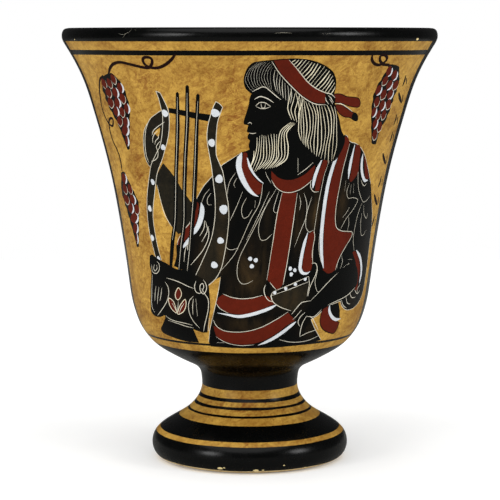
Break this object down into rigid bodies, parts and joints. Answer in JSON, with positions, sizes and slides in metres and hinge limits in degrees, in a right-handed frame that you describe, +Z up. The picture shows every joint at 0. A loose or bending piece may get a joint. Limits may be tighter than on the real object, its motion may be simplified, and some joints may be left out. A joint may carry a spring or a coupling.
{
  "type": "pythagorean cup",
  "caption": "Stemmed ceramic cup with a flared bowl, a hollow turned foot and an inner column that hides a self-draining siphon.",
  "frame": {"origin": "on the cup's axis, in the plane that the foot's ring stands on", "axes": "+Z up along the cup's axis; the painted picture faces -Y and the siphon's inlet faces +X"},
  "size_m": [0.1072, 0.1072, 0.1242],
  "materials": {
    "glazed_clay": "gloss"
  },
  "bodies": {
    "root": {"cup": "glazed_clay"}
  },
  "joints": []
}
